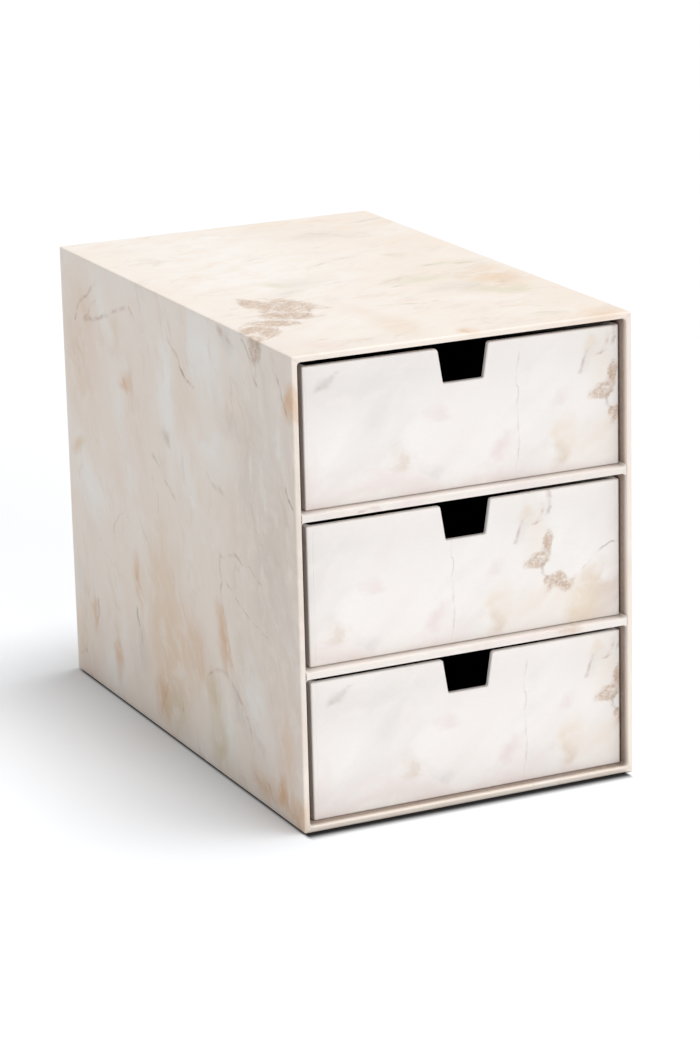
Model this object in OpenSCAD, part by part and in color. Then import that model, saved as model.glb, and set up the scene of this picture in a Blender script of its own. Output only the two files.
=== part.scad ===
// Desktop mini drawers: three open-topped trays in an open-fronted case,
// glued up from stiff greyboard and wrapped in printed paper.
// The mouth of the case faces -Y, and z = 0 is the table that it stands on.

/* [Case] */
// Outside width of the case
case_w = 154; // [120:1:220]
// Outside depth of the case, from its mouth to its back
case_d = 250; // [180:1:320]
// Clear height of each of the three bays
bay_h = 62.9; // [50:0.1:90]

/* [Board and paper] */
// Thickness of the board in the shell of the case and in the drawers
wall_board = 2; // [1.8:0.1:3]
// Thickness of the board in the shelves, which span the case
shelf_board = 2.5; // [2:0.1:3.5]
// Thickness of the wrapping paper and of the lining paper
paper = 0.3; // [0.25:0.05:0.4]
// Radius of a wrapped edge, measured on the outside of the paper
edge_r = 1; // [0.7:0.1:1.1]

/* [Drawers] */
// Gap between a drawer and the left wall of its bay
left_gap = 4.3; // [0.4:0.1:5]
// Gap between a drawer and the right wall of its bay
right_gap = 0.5; // [0.4:0.1:5]
// Gap between the rim of a drawer and the board above it
head_gap = 3.4; // [1.5:0.1:6]
// Distance of a closed drawer's front behind the mouth of the case
setback = 5.6; // [1.5:0.1:12]

/* [Finger notch] */
// Width of the notch at the rim of the drawer
notch_top_w = 23; // [20:0.5:34]
// Width of the notch at its foot
notch_foot_w = 18.3; // [12:0.1:19]
// Depth of the notch below the rim
notch_depth = 14.7; // [8:0.1:20]
// Radius of the two corners where the notch meets the rim
notch_rim_r = 1.8; // [1:0.1:2.5]
// Radius of the two corners at the foot of the notch
notch_foot_r = 0.8; // [0.5:0.1:2]

/* [Paper edges] */
// Depth to which the printed paper is turned into the bays
bay_turn_in = 15; // [8:0.5:25]
// Depth to which the printed paper is turned into a drawer
drawer_turn_in = 24; // [21:0.5:30]
// Margin of wrapping paper left round the back sheet and the base sheet
sheet_margin = 3; // [2:0.5:8]
// Distance of the front flap's edges from the sides of a drawer
flap_inset = 2.5; // [2:0.1:6]
// Width of the hairline where two edges of paper meet
seam_w = 0.2; // [0.1:0.05:0.3]

/* [Hidden] */
$fn = 48;

LOWER = 0;
MIDDLE = 1;
UPPER = 2;
LEVELS = [LOWER, MIDDLE, UPPER];
SIDES = [-1, 1];

// A wall, the floor or a shelf is board with paper on both faces
wall = wall_board + 2 * paper;
shelf = shelf_board + 2 * paper;

case_h = 2 * wall + 3 * bay_h + 2 * shelf;
bay_w = case_w - 2 * wall;
bay_len = case_d - wall;

drawer_w = bay_w - left_gap - right_gap;
drawer_h = bay_h - head_gap;
drawer_len = bay_len - setback;

// A drawer's middle lies this far to the right of the middle of its bay
drawer_x = (left_gap - right_gap) / 2;
tray_w = drawer_w - 2 * wall;
tray_len = drawer_len - 2 * wall;

// Straight steps that stand for each rounded corner of the notch
ARC_STEPS = 6;

// How far the notch's edges lean out for each millimetre of height
notch_lean = (notch_top_w - notch_foot_w) / 2 / notch_depth;
notch_foot_z = drawer_h - notch_depth;

// Cutters and zones run this far past the solids that they divide
past = 1;

print_colour = [0.93, 0.9, 0.87];
lining_colour = [0.09, 0.09, 0.1];
board_colour = [0.62, 0.6, 0.56];

// Height of a bay's floor above the table
function bay_z(level) = wall + level * (bay_h + shelf);

// ------------------------------------------------------------- placing

module box(low, high) {
    translate(low) cube(high - low);
}

// The case is drawn with its mouth at y = 0, and a drawer with its front there.
// Both are drawn with their middle at x = 0.
module in_case() {
    translate([0, -case_d / 2, 0]) children();
}

module in_bay(level) {
    translate([drawer_x, setback - case_d / 2, bay_z(level)]) children();
}

module on_both_sides() {
    for (side = SIDES) mirror([side < 0 ? 1 : 0, 0, 0]) children();
}

// ------------------------------------------------- wrapped edges and lips

module rounded_rect(size, r) {
    translate([r, 0]) square([size[0] - 2 * r, size[1]]);
    translate([0, r]) square([size[0], size[1] - 2 * r]);
    for (u = [r, size[0] - r], v = [r, size[1] - r])
        translate([u, v]) circle(r);
}

// Block with all its edges rounded and folded at the corners as paper is.
// It is centred across x, and skin takes that much off every face.
module wrapped_block(size, skin) {
    w = size[0] - 2 * skin;
    d = size[1] - 2 * skin;
    h = size[2] - 2 * skin;
    r = edge_r - skin;
    translate([-w / 2, skin, skin]) intersection() {
        linear_extrude(h) rounded_rect([w, d], r);
        translate([0, d, 0]) rotate([90, 0, 0]) linear_extrude(d) rounded_rect([w, h], r);
        rotate([90, 0, 90]) linear_extrude(w) rounded_rect([d, h], r);
    }
}

// Section of a hollow of the given width and depth, open at the top, where
// it widens over the rounded edges. Skin makes the hollow larger all round.
module lipped_section(width, depth, skin) {
    translate([-skin, -skin]) square([width + 2 * skin, depth + skin + past]);
    for (u = [0, width]) {
        lip_u = u == 0 ? -edge_r : width + edge_r;
        difference() {
            translate([min(u, lip_u), depth - edge_r]) square([edge_r, edge_r + past]);
            translate([lip_u, depth - edge_r]) circle(edge_r - skin);
        }
    }
}

// Hollow with a rolled lip on all four sides of its mouth, which faces up
module lipped_hollow(size, skin) {
    reach = edge_r + past;
    intersection() {
        translate([-size[0] / 2, size[1] + reach, 0]) rotate([90, 0, 0])
            linear_extrude(size[1] + 2 * reach) lipped_section(size[0], size[2], skin);
        translate([-size[0] / 2 - reach, 0, 0]) rotate([90, 0, 90])
            linear_extrude(size[0] + 2 * reach) lipped_section(size[1], size[2], skin);
    }
}

// ------------------------------------------------------------- the case

// The case with its bays; a skin of one paper leaves the bare boards
module case_shell(skin) {
    difference() {
        wrapped_block([case_w, case_d, case_h], skin);
        for (level = LEVELS)
            translate([0, bay_len, bay_z(level)]) rotate([90, 0, 0])
                lipped_hollow([bay_w, bay_h, bay_len], skin);
    }
}

// Faces at which the boards of the case butt against each other
board_x = bay_w / 2 + paper;
board_y = bay_len + paper;

// Upright board of the case, from x0 across to x1
module case_side_board(x0, x1) {
    color(board_colour) in_case() intersection() {
        case_shell(paper);
        box([x0, 0, 0], [x1, case_d, case_h]);
    }
}

// Board across the case between the side boards, from z0 up to z1
module case_cross_board(z0, z1) {
    color(board_colour) in_case() intersection() {
        case_shell(paper);
        box([-board_x, 0, z0], [board_x, board_y, z1]);
    }
}

module case_left_board() {
    case_side_board(-case_w / 2, -board_x);
}

module case_right_board() {
    case_side_board(board_x, case_w / 2);
}

module case_top_board() {
    case_cross_board(case_h - wall + paper, case_h);
}

module case_bottom_board() {
    case_cross_board(0, wall - paper);
}

module case_back_board() {
    color(board_colour) in_case() intersection() {
        case_shell(paper);
        box([-board_x, board_y, 0], [board_x, case_d, case_h]);
    }
}

// Shelf that carries the drawer of the given level
module shelf_board_under(level) {
    case_cross_board(bay_z(level) - shelf + paper, bay_z(level) - paper);
}

// Front stretch of a shelf, which its own strip of printed paper covers
module shelf_strip_zone(level, end_gap) {
    half = bay_w / 2 - end_gap;
    box([-half, -past, bay_z(level) - shelf], [half, bay_turn_in, bay_z(level)]);
}

module shelf_wrap_under(level) {
    color(print_colour) in_case() difference() {
        intersection() {
            case_shell(0);
            shelf_strip_zone(level, seam_w);
        }
        case_shell(paper);
    }
}

// Lining paper starts where the printed paper that is turned in ends
module bay_liner_zone(level) {
    box([-board_x, bay_turn_in, bay_z(level) - paper],
        [board_x, board_y, bay_z(level) + bay_h + paper]);
}

module bay_liner(level) {
    color(lining_colour) in_case() difference() {
        bay_liner_zone(level);
        box([-bay_w / 2, bay_turn_in - past, bay_z(level)],
            [bay_w / 2, bay_len, bay_z(level) + bay_h]);
    }
}

module back_plate(outward) {
    edge = case_w / 2 - sheet_margin;
    box([-edge, case_d - paper, sheet_margin],
        [edge, case_d + outward, case_h - sheet_margin]);
}

module base_plate(outward) {
    edge = case_w / 2 - sheet_margin;
    box([-edge, sheet_margin, -outward], [edge, case_d - sheet_margin, paper]);
}

module back_sheet() {
    color(print_colour) in_case() back_plate(0);
}

module base_sheet() {
    color(print_colour) in_case() base_plate(0);
}

// Hairline across a corner of the mouth, where two turned-in edges meet.
// The corner is at z_out, and the bay's own corner is rise above it.
module mouth_mitre(z_out, rise) {
    clear_of_sleeve = edge_r / 2;
    translate([-case_w / 2, 0, z_out]) rotate([0, -atan2(rise, wall), 0])
        translate([clear_of_sleeve, -past, -seam_w / 2])
            cube([norm([wall, rise]), past + edge_r, seam_w]);
}

// Sleeve of printed paper round the outside, folded over the front edges
// with mitred corners and turned into the bays
module case_wrap() {
    color(print_colour) in_case() difference() {
        case_shell(0);
        case_shell(paper);
        for (level = LEVELS) bay_liner_zone(level);
        for (level = [MIDDLE, UPPER]) shelf_strip_zone(level, 0);
        back_plate(past);
        base_plate(past);
        on_both_sides() {
            mouth_mitre(0, wall);
            mouth_mitre(case_h, -wall);
        }
    }
}

// ------------------------------------------------------------ the drawers

// Points along an arc of the given radius, from angle a0 to angle a1
function arc(centre, r, a0, a1) =
    [for (k = [0:ARC_STEPS]) let (a = a0 + (a1 - a0) * k / ARC_STEPS)
        centre + r * [cos(a), sin(a)]];

// Right-hand edge of the finger notch, from the middle of its foot up to
// past the rim. The notch is made larger by skin all round. Its foot has a
// rounded corner, and the rim rolls down into it over a larger one.
function notch_edge(skin) = let (
    lean = atan(notch_lean),
    half_at = function(z) notch_foot_w / 2 + notch_lean * (z - notch_foot_z),
    foot_z = notch_foot_z + notch_foot_r,
    foot_c = [half_at(foot_z) - notch_foot_r / cos(lean), foot_z],
    rim_z = drawer_h - notch_rim_r,
    rim_c = [half_at(rim_z) + notch_rim_r / cos(lean), rim_z]
) concat(
    [[0, notch_foot_z - skin]],
    arc(foot_c, notch_foot_r + skin, -90, -lean),
    arc(rim_c, notch_rim_r - skin, 180 - lean, 90),
    [[rim_c[0], drawer_h + past], [0, drawer_h + past]]
);

module notch_outline(skin) {
    right = notch_edge(skin);
    left = [for (k = [len(right) - 2:-1:1]) [-right[k][0], right[k][1]]];
    polygon(concat(right, left));
}

// A drawer's tray with its notch; a skin of one paper leaves the bare boards
module tray_shell(skin) {
    difference() {
        wrapped_block([drawer_w, drawer_len, drawer_h], skin);
        translate([0, wall, wall])
            lipped_hollow([tray_w, tray_len, drawer_h - wall], skin);
        translate([0, wall + past, 0]) rotate([90, 0, 0])
            linear_extrude(wall + 2 * past) notch_outline(skin);
    }
}

// Faces at which the boards of a drawer butt against each other
tray_x = tray_w / 2 + paper;
tray_y0 = wall - paper;
tray_y1 = drawer_len - wall + paper;
tray_z = wall - paper;

module drawer_board(level, low, high) {
    color(board_colour) in_bay(level) intersection() {
        tray_shell(paper);
        box(low, high);
    }
}

module drawer_front_board(level) {
    drawer_board(level, [-drawer_w / 2, 0, 0], [drawer_w / 2, tray_y0, drawer_h]);
}

module drawer_back_board(level) {
    drawer_board(level, [-drawer_w / 2, tray_y1, 0], [drawer_w / 2, drawer_len, drawer_h]);
}

module drawer_left_board(level) {
    drawer_board(level, [-drawer_w / 2, tray_y0, 0], [-tray_x, tray_y1, drawer_h]);
}

module drawer_right_board(level) {
    drawer_board(level, [tray_x, tray_y0, 0], [drawer_w / 2, tray_y1, drawer_h]);
}

module drawer_bottom_board(level) {
    drawer_board(level, [-tray_x, tray_y0, 0], [tray_x, tray_y1, tray_z]);
}

module tray_liner_zone() {
    box([-tray_x, tray_y0, tray_z], [tray_x, tray_y1, drawer_h - drawer_turn_in]);
}

module drawer_liner(level) {
    color(lining_colour) in_bay(level) difference() {
        tray_liner_zone();
        box([-tray_w / 2, wall, wall],
            [tray_w / 2, drawer_len - wall, drawer_h - drawer_turn_in + past]);
    }
}

// Hairline round the right-hand edge of the flap that covers the front: it
// comes in at a slant from the lower corner and then runs up to the rim
module flap_edge() {
    seam_depth = paper / 2;
    side = drawer_w / 2;
    flap = side - flap_inset;
    slant_w = seam_w * sqrt(2);
    translate([0, seam_depth, 0]) rotate([90, 0, 0]) linear_extrude(seam_depth + past)
        polygon([
            [side + past, -past], [flap, flap_inset], [flap, drawer_h + past],
            [flap - seam_w, drawer_h + past], [flap - seam_w, flap_inset + seam_w - slant_w],
            [side + past - slant_w, -past]
        ]);
}

// One sheet of printed paper under and round the tray, over its rim,
// through its notch and down inside
module drawer_wrap(level) {
    color(print_colour) in_bay(level) difference() {
        tray_shell(0);
        tray_shell(paper);
        tray_liner_zone();
        on_both_sides() flap_edge();
    }
}

// ---------------------------------------------------------------- nodes

case_left_board();
case_right_board();
case_top_board();
case_bottom_board();
case_back_board();
shelf_board_under(UPPER);  // upper_shelf_board
shelf_board_under(MIDDLE);  // lower_shelf_board
case_wrap();
shelf_wrap_under(UPPER);  // upper_shelf_wrap
shelf_wrap_under(MIDDLE);  // lower_shelf_wrap
back_sheet();
base_sheet();
bay_liner(UPPER);  // upper_bay_liner
bay_liner(MIDDLE);  // middle_bay_liner
bay_liner(LOWER);  // lower_bay_liner
drawer_front_board(UPPER);  // upper_drawer_front_board
drawer_back_board(UPPER);  // upper_drawer_back_board
drawer_left_board(UPPER);  // upper_drawer_left_board
drawer_right_board(UPPER);  // upper_drawer_right_board
drawer_bottom_board(UPPER);  // upper_drawer_bottom_board
drawer_wrap(UPPER);  // upper_drawer_wrap
drawer_liner(UPPER);  // upper_drawer_liner
drawer_front_board(MIDDLE);  // middle_drawer_front_board
drawer_back_board(MIDDLE);  // middle_drawer_back_board
drawer_left_board(MIDDLE);  // middle_drawer_left_board
drawer_right_board(MIDDLE);  // middle_drawer_right_board
drawer_bottom_board(MIDDLE);  // middle_drawer_bottom_board
drawer_wrap(MIDDLE);  // middle_drawer_wrap
drawer_liner(MIDDLE);  // middle_drawer_liner
drawer_front_board(LOWER);  // lower_drawer_front_board
drawer_back_board(LOWER);  // lower_drawer_back_board
drawer_left_board(LOWER);  // lower_drawer_left_board
drawer_right_board(LOWER);  // lower_drawer_right_board
drawer_bottom_board(LOWER);  // lower_drawer_bottom_board
drawer_wrap(LOWER);  // lower_drawer_wrap
drawer_liner(LOWER);  // lower_drawer_liner
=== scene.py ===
import math

import bmesh
import bpy
from mathutils import Matrix, Vector, noise


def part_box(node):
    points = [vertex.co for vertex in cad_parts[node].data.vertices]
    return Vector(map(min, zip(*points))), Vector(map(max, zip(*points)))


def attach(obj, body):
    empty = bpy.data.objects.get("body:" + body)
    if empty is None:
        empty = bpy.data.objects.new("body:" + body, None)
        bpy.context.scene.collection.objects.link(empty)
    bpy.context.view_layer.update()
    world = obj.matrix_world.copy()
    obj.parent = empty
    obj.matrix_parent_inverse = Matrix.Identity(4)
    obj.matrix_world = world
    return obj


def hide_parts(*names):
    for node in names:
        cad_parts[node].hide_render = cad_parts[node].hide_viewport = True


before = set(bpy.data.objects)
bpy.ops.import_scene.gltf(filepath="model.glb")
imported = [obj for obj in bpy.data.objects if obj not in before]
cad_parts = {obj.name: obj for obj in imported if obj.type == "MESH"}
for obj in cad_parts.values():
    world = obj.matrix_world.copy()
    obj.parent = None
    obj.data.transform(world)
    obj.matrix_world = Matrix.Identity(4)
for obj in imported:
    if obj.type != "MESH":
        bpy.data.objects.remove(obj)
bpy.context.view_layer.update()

MM = 0.001

LEVELS = ("lower", "middle", "upper")
SHELVES = ("lower", "upper")

# ------------------------------------------------------------- sizes, from the frame

CASE_LOW, CASE_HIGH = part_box("case_wrap")
CASE_W = CASE_HIGH.x - CASE_LOW.x
CASE_D = CASE_HIGH.y - CASE_LOW.y
CASE_H = CASE_HIGH.z - CASE_LOW.z

# What the wrapping takes up in the frame, and what a sheet of art paper is really thick
SKIN = 0.3 * MM
SHEET = 0.18 * MM

# The frame's lining lies against the boards, so a bay is one skin inside it on each side
BAY_LOW = {level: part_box(f"{level}_bay_liner")[0] for level in LEVELS}
BAY_HIGH = {level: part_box(f"{level}_bay_liner")[1] for level in LEVELS}
MOUTH_W = 2 * (BAY_HIGH["lower"].x - SKIN)
MOUTH_BOTTOM = BAY_LOW["lower"].z + SKIN
MOUTH_TOP = BAY_HIGH["upper"].z - SKIN
BAY_TURN_IN = BAY_LOW["lower"].y - CASE_LOW.y

DRAWER_LOW = {level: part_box(f"{level}_drawer_wrap")[0] for level in LEVELS}
DRAWER_HIGH = {level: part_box(f"{level}_drawer_wrap")[1] for level in LEVELS}
DRAWER_W = DRAWER_HIGH["lower"].x - DRAWER_LOW["lower"].x
DRAWER_D = DRAWER_HIGH["lower"].y - DRAWER_LOW["lower"].y
DRAWER_H = DRAWER_HIGH["lower"].z - DRAWER_LOW["lower"].z
DRAWER_X = (DRAWER_HIGH["lower"].x + DRAWER_LOW["lower"].x) / 2
LINING_LOW, LINING_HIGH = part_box("lower_drawer_liner")
WALL = LINING_LOW.x + SKIN - DRAWER_LOW["lower"].x
DRAWER_TURN_IN = DRAWER_HIGH["lower"].z - LINING_HIGH.z

# Paper folded over a board is rolled round its edge
EDGE_R = 0.7 * MM

NOTCH_TOP_W = 23.0 * MM
NOTCH_FOOT_W = 18.3 * MM
NOTCH_DEPTH = 14.7 * MM
NOTCH_FOOT_R = 0.8 * MM
# The paper is rolled by hand over the two upper corners of each notch, left and right, so no two are alike
NOTCH_RIM_R = {"upper": (1.9 * MM, 1.15 * MM), "middle": (1.2 * MM, 1.3 * MM), "lower": (1.2 * MM, 1.4 * MM)}

# How far a wrapping laps onto a face that another sheet closes
SHEET_MARGIN = 3.0 * MM
# The flap that covers a drawer's front ends this far from the drawer's left and right side
FLAP_INSET = {"upper": (1.3 * MM, 2.3 * MM), "middle": (2.5 * MM, 1.4 * MM), "lower": (1.9 * MM, 1.4 * MM)}
# Paper bridges an inside corner of board instead of following it in
MOUTH_BRIDGE_R = 1.6 * MM
TRAY_BRIDGE_R = 1.2 * MM

# ------------------------------------------------------------- sheets laid as rings

# A sheet that is wrapped round a box is a stack of rings. Each ring is a rounded rectangle in a plane
# with axes a and b, and every ring has the same columns: stops along its four sides, and steps round
# its four corners. Side 0 has the lowest b, and the others follow it round to the left.
AHEAD = ((1, 0), (0, 1), (-1, 0), (0, -1))
OUT = ((0, -1), (1, 0), (0, 1), (-1, 0))
CORNER_STEPS = 8
# Radius of a corner that is as good as sharp, which keeps its columns apart
SHARP_R = 0.02 * MM


def spaced(low, high, step):
    """Evenly spaced stops from low to high, both included, about step apart."""
    count = max(1, round((high - low) / step))
    return [low + (high - low) * k / count for k in range(count + 1)]


def ring_columns(stops):
    """Columns (side, part, value) all the way round, from the stops of the four sides."""
    columns = []
    for side in range(4):
        columns += [(side, "side", stop) for stop in stops[side]]
        columns += [(side, "corner", k / CORNER_STEPS) for k in range(1, CORNER_STEPS)]
    return columns


def along_side(stop, full, reach, fixed):
    """Place of a stop on a side that is shorter than its full one: stops past fixed are drawn in."""
    if abs(stop) <= fixed:
        return stop
    drawn = fixed + (abs(stop) - fixed) * (reach - fixed) / (full - fixed)
    return math.copysign(drawn, stop)


def ring_point(column, rect, radius, full, fixed=0.0):
    """Point (a, b) of a column on a rounded rectangle, and the way out from it. Full gives the half lengths
    of the sides that the stops were made for, and side 0 keeps its stops where they are up to fixed."""
    side, part, value = column
    low_a, high_a, low_b, high_b = rect
    middle = Vector(((low_a + high_a) / 2, (low_b + high_b) / 2))
    half = ((high_a - low_a) / 2, (high_b - low_b) / 2)
    ahead = Vector(AHEAD[side])
    out = Vector(OUT[side])
    half_ahead = half[side % 2]
    half_out = half[1 - side % 2]
    if part == "side":
        place = along_side(value, full[side], half_ahead - radius, fixed if side == 0 else 0.0)
        return middle + ahead * place + out * half_out, out
    centre = middle + ahead * (half_ahead - radius) + out * (half_out - radius)
    angle = value * math.pi / 2
    away = out * math.cos(angle) + ahead * math.sin(angle)
    return centre + away * radius, away


def inset(rect, distance):
    """The rectangle with its sides moved in by a distance."""
    return (rect[0] + distance, rect[1] - distance, rect[2] + distance, rect[3] - distance)


def between(first, second, share):
    """Tuple or number that lies the given share of the way from first to second."""
    if isinstance(first, tuple):
        return tuple(a + (b - a) * share for a, b in zip(first, second))
    return first + (second - first) * share


def quarter(steps):
    """Sine and cosine at even steps round a quarter turn, without its start."""
    angles = [k / steps * math.pi / 2 for k in range(1, steps + 1)]
    return [(math.sin(angle), math.cos(angle)) for angle in angles]


# How far glued paper sinks and lifts over its board, and how far apart its swells lie
RIPPLE = 0.07 * MM
RIPPLE_LENGTH = 34 * MM
# Each part has swells of its own: its shift moves the place in the noise by this much each way
RIPPLE_SHIFT = Vector((1.0, 0.37, 0.71))
# Folds that turn by more than this stay crisp
SHARP_FOLD = math.radians(50)


def ripple(point, shift=0.0):
    """Small depth, never negative, by which the paper lies below its nominal face at a point."""
    place = Vector(point) / RIPPLE_LENGTH + RIPPLE_SHIFT * shift
    return RIPPLE * (0.5 + 0.5 * noise.noise(place))


def sheet_mesh(name, rings, prints, closed=True, left_out=(), caps=()):
    """Mesh of a sheet: rings of points, and the place of each on the printed paper, in metres.
    A closed ring's prints have one more place than it has points, for its last face. Left_out lists the
    faces (ring, column) that stay open, and each cap closes a ring, with its function for the print."""
    shape = bmesh.new()
    layer = shape.loops.layers.uv.new("print")
    rows = [[shape.verts.new(point) for point in ring] for ring in rings]
    count = len(rings[0])
    for r in range(len(rings) - 1):
        for c in range(count if closed else count - 1):
            if (r, c) in left_out:
                continue
            n = (c + 1) % count
            face = shape.faces.new((rows[r][c], rows[r][n], rows[r + 1][n], rows[r + 1][c]))
            corners = (prints[r][c], prints[r][c + 1], prints[r + 1][c + 1], prints[r + 1][c])
            for loop, place in zip(face.loops, corners):
                loop[layer].uv = place
    for r, across in caps:
        face = shape.faces.new(reversed(rows[r]) if r == 0 else rows[r])
        for loop in face.loops:
            loop[layer].uv = across(loop.vert.co)
    loose = [vert for vert in shape.verts if not vert.link_faces]
    bmesh.ops.delete(shape, geom=loose, context="VERTS")
    mesh = bpy.data.meshes.new(name)
    shape.to_mesh(mesh)
    shape.free()
    return mesh


def add_piece(name, mesh, material, body, stands_for, thickness=SHEET):
    """Puts a sheet in the scene at its thickness, on the body that it moves with."""
    mesh.materials.append(material)
    mesh.shade_smooth()
    mesh.set_sharp_from_angle(angle=SHARP_FOLD)
    piece = bpy.data.objects.new(name, mesh)
    bpy.context.scene.collection.objects.link(piece)
    solid = piece.modifiers.new("thickness of the sheet", "SOLIDIFY")
    solid.thickness = thickness
    solid.offset = -1
    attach(piece, body)
    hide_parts(*stands_for)
    return piece


# ------------------------------------------------------------- the case's wrapping

CELL = 5 * MM
ROLL_STEPS = 6
RIM_STEPS = 4
# The mitre at each corner of the rim is a hairline that sinks this far
SEAM_DEPTH = 0.22 * MM
# On the back the sleeve runs on this far along the paper, and its corners are cut round
BACK_LAP = 2.0 * MM
BACK_LAP_R = 0.3 * MM
# Places this near each other are one place
TINY = 1e-6


def case_columns():
    """Columns round the case, seen from its mouth: bottom, right, top and left."""
    half = (CASE_W / 2 - EDGE_R, CASE_H / 2 - EDGE_R)
    window = CASE_W / 2 - SHEET_MARGIN
    across = [-half[0]] + spaced(-window, window, CELL) + [half[0]]
    upright = spaced(-half[1], half[1], CELL)
    return ring_columns((across, upright, across, upright)), half + half


def case_rows():
    """Rows (rect, radius, y, travel, seam) of the sleeve, from its margin on the back round to the mouth,
    over the rim and into the bays. Seam is the share of the mitre's depth that a row has at its corners."""
    outer = (CASE_LOW.x, CASE_HIGH.x, CASE_LOW.z, CASE_HIGH.z)
    mouth = (-MOUTH_W / 2, MOUTH_W / 2, MOUTH_BOTTOM, MOUTH_TOP)
    rim_outer = inset(outer, EDGE_R)
    rim_inner = inset(mouth, -EDGE_R)
    front = CASE_LOW.y
    back = CASE_HIGH.y
    roll = EDGE_R * math.pi / 2
    rim = WALL - 2 * EDGE_R
    rows = [(inset(outer, SHEET_MARGIN), BACK_LAP_R, back, CASE_D + 2 * roll + BACK_LAP, 0.0)]
    rows += [(rim_outer, SHARP_R, back, CASE_D + 2 * roll, 0.0)]
    for sine, cosine in quarter(ROLL_STEPS):
        down = EDGE_R * (1 - sine)
        rows.append((inset(outer, down), EDGE_R - down, back - EDGE_R * (1 - cosine), CASE_D + roll, 0.0))
    for y in spaced(back - SHEET_MARGIN, front + SHEET_MARGIN, -CELL):
        rows.append((outer, EDGE_R, y, y - front, 0.0))
    rows.append((outer, EDGE_R, front + EDGE_R, EDGE_R, 0.0))
    for sine, cosine in quarter(ROLL_STEPS):
        down = EDGE_R * (1 - cosine)
        radius = max(EDGE_R - down, SHARP_R)
        rows.append((inset(outer, down), radius, front + EDGE_R * (1 - sine), EDGE_R * cosine, sine))
    for k in range(1, RIM_STEPS + 1):
        share = k / RIM_STEPS
        radius = between(SHARP_R, MOUTH_BRIDGE_R + EDGE_R, share)
        rows.append((between(rim_outer, rim_inner, share), radius, front, -rim * share, 1.0))
    for sine, cosine in quarter(ROLL_STEPS):
        out = EDGE_R * (1 - sine)
        y = front + EDGE_R * (1 - cosine)
        rows.append((inset(mouth, -out), MOUTH_BRIDGE_R + out, y, -rim - roll * sine, cosine))
    for depth in spaced(EDGE_R, BAY_TURN_IN, CELL)[1:]:
        rows.append((mouth, MOUTH_BRIDGE_R, front + depth, -rim - depth, 0.0))
    return rows


def case_print_u(column):
    """Distance round the unrolled sleeve, from its top left edge: over the top it is positive and goes
    right, and down the left side it is negative. The sheet's ends meet at the bottom left edge."""
    side, part, value = column
    starts = (2 * (CASE_H + CASE_W), CASE_W + CASE_H, CASE_W, 0.0)
    lengths = (CASE_W, CASE_H, CASE_W, CASE_H)
    half = lengths[side] / 2
    if part == "side":
        return starts[side] - half - value
    return starts[side] - 2 * half + EDGE_R * (1 - 2 * value)


def open_underside(rows, columns):
    """Faces (row, column) that the sleeve doesn't have: the base sheet closes the underside there."""
    window = CASE_W / 2 - SHEET_MARGIN
    start = CASE_LOW.y + SHEET_MARGIN
    end = CASE_HIGH.y - SHEET_MARGIN
    under = [c for c, (side, part, value) in enumerate(columns)
             if side == 0 and part == "side" and -window - TINY < value < window - TINY]
    faces = set()
    for r in range(len(rows) - 1):
        middle = (rows[r][2] + rows[r + 1][2]) / 2
        if start < middle < end and rows[r][1] == EDGE_R:
            faces.update((r, c) for c in under)
    return faces


def case_sleeve(material):
    """The sheet round the case: over its edges at the back, and into its bays at the mouth."""
    columns, full = case_columns()
    rows = case_rows()
    rings = []
    prints = []
    places = [case_print_u(column) for column in columns]
    places.append(places[0] - 2 * (CASE_W + CASE_H))
    for rect, radius, y, travel, seam in rows:
        swells = CASE_LOW.y + EDGE_R < y < CASE_HIGH.y - EDGE_R and radius == EDGE_R
        ring = []
        for column in columns:
            (a, b), out = ring_point(column, rect, radius, full)
            depth = ripple((a, y, b)) if swells else 0.0
            sunk = SEAM_DEPTH * seam if column[1:] == ("corner", 0.5) else 0.0
            ring.append(Vector((a - out.x * depth, y + sunk, b - out.y * depth)))
        rings.append(ring)
        prints.append([(u, travel) for u in places])
    mesh = sheet_mesh("case_sleeve", rings, prints, left_out=open_underside(rows, columns))
    return add_piece("case_sleeve", mesh, material, "case", ["case_wrap"])


# ------------------------------------------------------------- the shelves' wrapping

# A strip ends this far from each wall
SHELF_END_GAP = 0.15 * MM
FLARE_STEPS = 6
STOP_DIGITS = 7
# The strips are cut from one print, this far along it
STRIP_CUT = {"upper": 0.0, "lower": 200.0 * MM}


def shelf_flare(distance):
    """Height that the strip climbs where it meets the wall, at a distance from the wall."""
    if distance >= MOUTH_BRIDGE_R:
        return 0.0
    run = MOUTH_BRIDGE_R - distance
    return MOUTH_BRIDGE_R - math.sqrt(MOUTH_BRIDGE_R ** 2 - run ** 2)


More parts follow.
